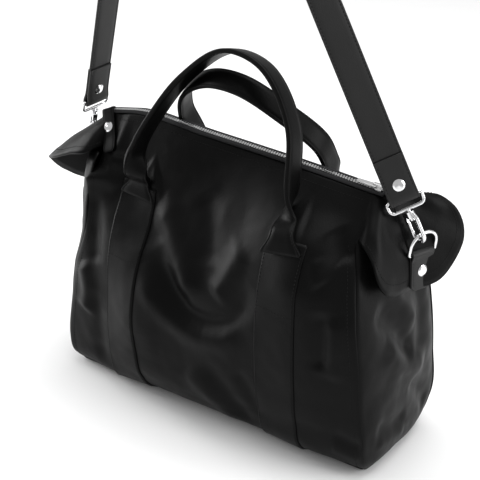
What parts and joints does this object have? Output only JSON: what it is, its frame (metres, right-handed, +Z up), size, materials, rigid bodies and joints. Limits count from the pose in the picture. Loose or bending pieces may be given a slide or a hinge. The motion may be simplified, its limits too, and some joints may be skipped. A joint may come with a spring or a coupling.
{
  "type": "diaper bag",
  "caption": "Soft black leather zip-top bag with two short handles and a clip-on shoulder strap.",
  "frame": {"origin": "centre of the flat base", "axes": "+X along the length of the bag towards its right end, -Y the front, +Z up"},
  "size_m": [0.4949, 0.186, 0.8039],
  "materials": {
    "leather_black": "semi-gloss, grained",
    "stiffener_board": "matte",
    "lining_fabric": "woven cotton",
    "zip_tape": "woven",
    "zip_metal": "bright",
    "fitting_metal": "polished"
  },
  "bodies": {
    "bag": {"front_panel": "leather_black", "back_panel": "leather_black", "gusset_left": "leather_black", "gusset_right": "leather_black", "base_panel": "leather_black", "base_board": "stiffener_board", "lining": "lining_fabric", "inner_pocket": "lining_fabric", "front_strip_left": "leather_black", "front_strip_right": "leather_black", "back_strip_left": "leather_black", "back_strip_right": "leather_black", "zip_tape_front": "zip_tape", "zip_tape_back": "zip_tape", "zip_teeth_front": "zip_metal", "zip_teeth_back": "zip_metal", "zip_stops": "zip_metal", "zip_end_tab": "leather_black", "ring_tab_left": "leather_black", "ring_tab_right": "leather_black", "tab_rivets": "fitting_metal"},
    "zip_runner": {"zip_slider": "zip_metal"},
    "pull": {"zip_pull": "zip_metal"},
    "handle_front": {"front_handle": "leather_black"},
    "handle_back": {"back_handle": "leather_black"},
    "strap": {"shoulder_strap": "leather_black", "strap_rivets": "fitting_metal", "snap_eye_left": "fitting_metal", "snap_eye_right": "fitting_metal"},
    "ring_left": {"d_ring_left": "fitting_metal"},
    "ring_right": {"d_ring_right": "fitting_metal"},
    "hook_left": {"snap_hook_left": "fitting_metal"},
    "hook_right": {"snap_hook_right": "fitting_metal"},
    "gate_left": {"snap_gate_left": "fitting_metal"},
    "gate_right": {"snap_gate_right": "fitting_metal"}
  },
  "joints": [
    {"name": "zip_slide", "type": "slide", "parent": "bag", "child": "zip_runner", "axis": [-0.9991, 0, 0.0427], "range_m": [0, 0.338]},
    {"name": "zip_pull_turn", "type": "hinge", "parent": "zip_runner", "child": "pull", "pos_m": [0.17217, 0, 0.31189], "axis": [0, 1, 0], "range_deg": [0, 100]},
    {"name": "front_handle_flop", "type": "hinge", "parent": "bag", "child": "handle_front", "pos_m": [0, -0.061, 0.263], "axis": [1, 0, 0], "range_deg": [0, 110]},
    {"name": "back_handle_flop", "type": "hinge", "parent": "bag", "child": "handle_back", "pos_m": [0, 0.061, 0.263], "axis": [-1, 0, 0], "range_deg": [0, 115]},
    {"name": "strap_swing", "type": "hinge", "parent": "bag", "child": "strap", "pos_m": [-0.21901, 0.00311, 0.28802], "axis": [0.9989, -0.001, -0.0468], "range_deg": [-10, 8]},
    {"name": "d_ring_left_turn", "type": "hinge", "parent": "bag", "child": "ring_left", "pos_m": [-0.2225, 0.0103, 0.2641], "axis": [0.5867, 0.7867, -0.192], "range_deg": [-4, 4], "stiffness_Nm_per_rad": 0.02},
    {"name": "swivel_left", "type": "hinge", "parent": "strap", "child": "hook_left", "pos_m": [-0.2117, 0.00061, 0.31158], "axis": [-0.2946, 0.1007, -0.9503], "range_deg": [-15, 15], "stiffness_Nm_per_rad": 0.02},
    {"name": "gate_left_turn", "type": "hinge", "parent": "hook_left", "child": "gate_left", "pos_m": [-0.20803, -0.00335, 0.30382], "axis": [0.6153, 0.7809, -0.1081], "range_deg": [0, 26], "stiffness_Nm_per_rad": 0.01},
    {"name": "d_ring_right_turn", "type": "hinge", "parent": "bag", "child": "ring_right", "pos_m": [0.222, 0.012, 0.244], "axis": [0.3463, 0.9381, -0.0074], "range_deg": [-1, 3], "stiffness_Nm_per_rad": 0.02},
    {"name": "swivel_right", "type": "hinge", "parent": "strap", "child": "hook_right", "pos_m": [0.21196, 0.0004, 0.28974], "axis": [0.4189, 0.0916, -0.9034], "range_deg": [-12, 15], "stiffness_Nm_per_rad": 0.02},
    {"name": "gate_right_turn", "type": "hinge", "parent": "hook_right", "child": "gate_right", "pos_m": [0.20799, 0.0033, 0.28165], "axis": [-0.254, -0.9434, -0.2134], "range_deg": [0, 26], "stiffness_Nm_per_rad": 0.01}
  ]
}
